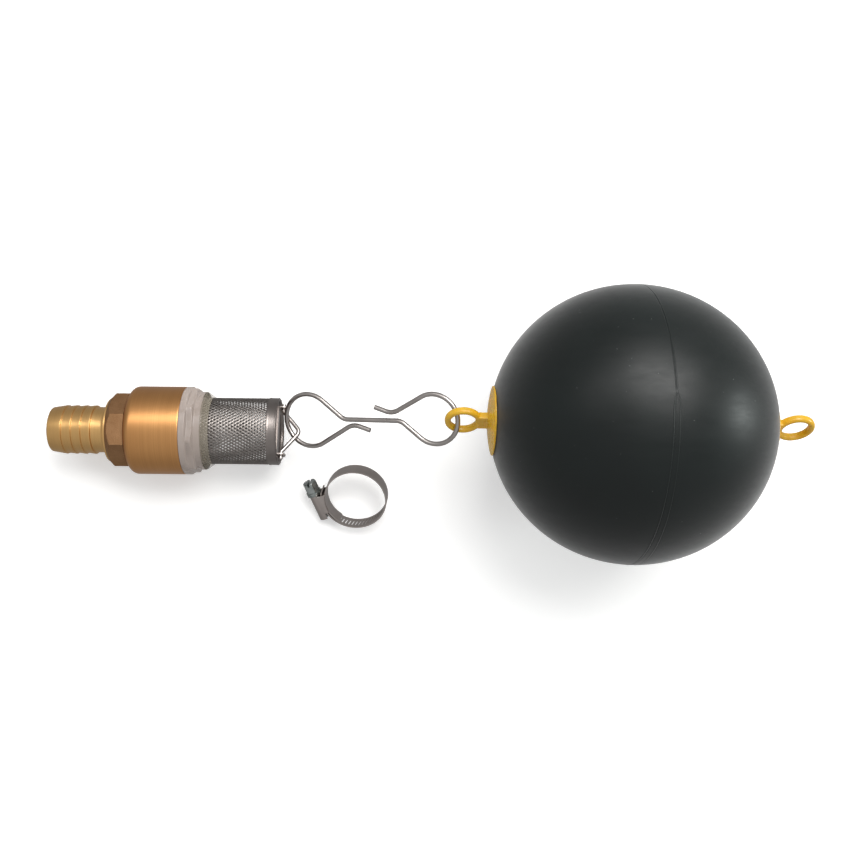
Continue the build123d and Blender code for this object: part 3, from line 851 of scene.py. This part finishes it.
# ---------------------------------------------------------------- stage, light and camera
def make_floor():
    """A pale, softly lit sheet under the object, kept out of the metal's reflections."""
    bpy.ops.mesh.primitive_plane_add(size=6, location=(0, 0, 0))
    floor = bpy.context.object
    floor.name = "floor"
    paper = Shader(
        "floor_paper",
        (0.9, 0.9, 0.9),
        0.8,
        Emission_Color=(1, 1, 1, 1),
        Emission_Strength=0.3,
    )
    fibres = paper.noise((350, 350, 350), 3)
    paper.colour(paper.ramp(fibres, [(0.3, (0.89, 0.89, 0.885)), (0.7, (0.91, 0.91, 0.905))]))
    floor.data.materials.append(paper.material)
    floor.visible_glossy = False


def make_light(name, place, target, size, power, colour=(1, 1, 1)):
    """A soft rectangular lamp that faces a target."""
    lamp = bpy.data.lights.new(name, "AREA")
    lamp.shape = "RECTANGLE"
    lamp.size, lamp.size_y = size
    lamp.energy = power
    lamp.color = colour
    light = bpy.data.objects.new(name, lamp)
    light.location = place
    light.rotation_euler = (Vector(target) - Vector(place)).to_track_quat("-Z", "Y").to_euler()
    bpy.context.scene.collection.objects.link(light)


def make_world():
    """A soft room: brighter overhead than at the horizon."""
    world = bpy.data.worlds.new("room")
    world.use_nodes = True
    nodes, links = world.node_tree.nodes, world.node_tree.links
    back = nodes["Background"]
    place = nodes.new("ShaderNodeTexCoord")
    split = nodes.new("ShaderNodeSeparateXYZ")
    ramp = nodes.new("ShaderNodeValToRGB")
    ramp.color_ramp.elements[0].position = 0.0
    ramp.color_ramp.elements[0].color = (0.34, 0.34, 0.34, 1)
    ramp.color_ramp.elements[1].position = 0.95
    ramp.color_ramp.elements[1].color = (0.6, 0.6, 0.6, 1)
    links.new(place.outputs["Generated"], split.inputs["Vector"])
    links.new(split.outputs["Z"], ramp.inputs["Fac"])
    links.new(ramp.outputs["Color"], back.inputs["Color"])
    back.inputs["Strength"].default_value = 1.0
    bpy.context.scene.world = world


def make_camera():
    """Straight above the object, turned a little, framed as an 856 by 857 picture."""
    focal_px, frame_px, film = 880, 857, 36
    off_x, off_y = 34, -22.5
    place, turn = (-0.0111, 0.0077, 0.507), 0.62
    lens = bpy.data.cameras.new("camera")
    lens.sensor_width = film
    lens.lens = focal_px * film / frame_px
    lens.shift_x = off_x / frame_px
    lens.shift_y = off_y / frame_px
    lens.clip_start = 0.01
    camera = bpy.data.objects.new("camera", lens)
    camera.location = place
    camera.rotation_euler = (0, 0, math.radians(turn))
    bpy.context.scene.collection.objects.link(camera)
    bpy.context.scene.camera = camera


bpy.context.scene.view_settings.view_transform = "Standard"
make_floor()
make_light("key", (0.35, 0.67, 1.05), (0.1, 0, 0.07), (0.9, 0.75), 15, (1, 0.99, 0.975))
make_light("strip", (-0.45, 0.62, 0.98), (-0.14, 0, 0.02), (0.9, 0.3), 2.0)
make_light("window", (1.35, 0.14, 0.4), (0.12, 0, 0.07), (0.35, 0.35), 5, (0.93, 1, 0.98))
make_world()
make_camera()
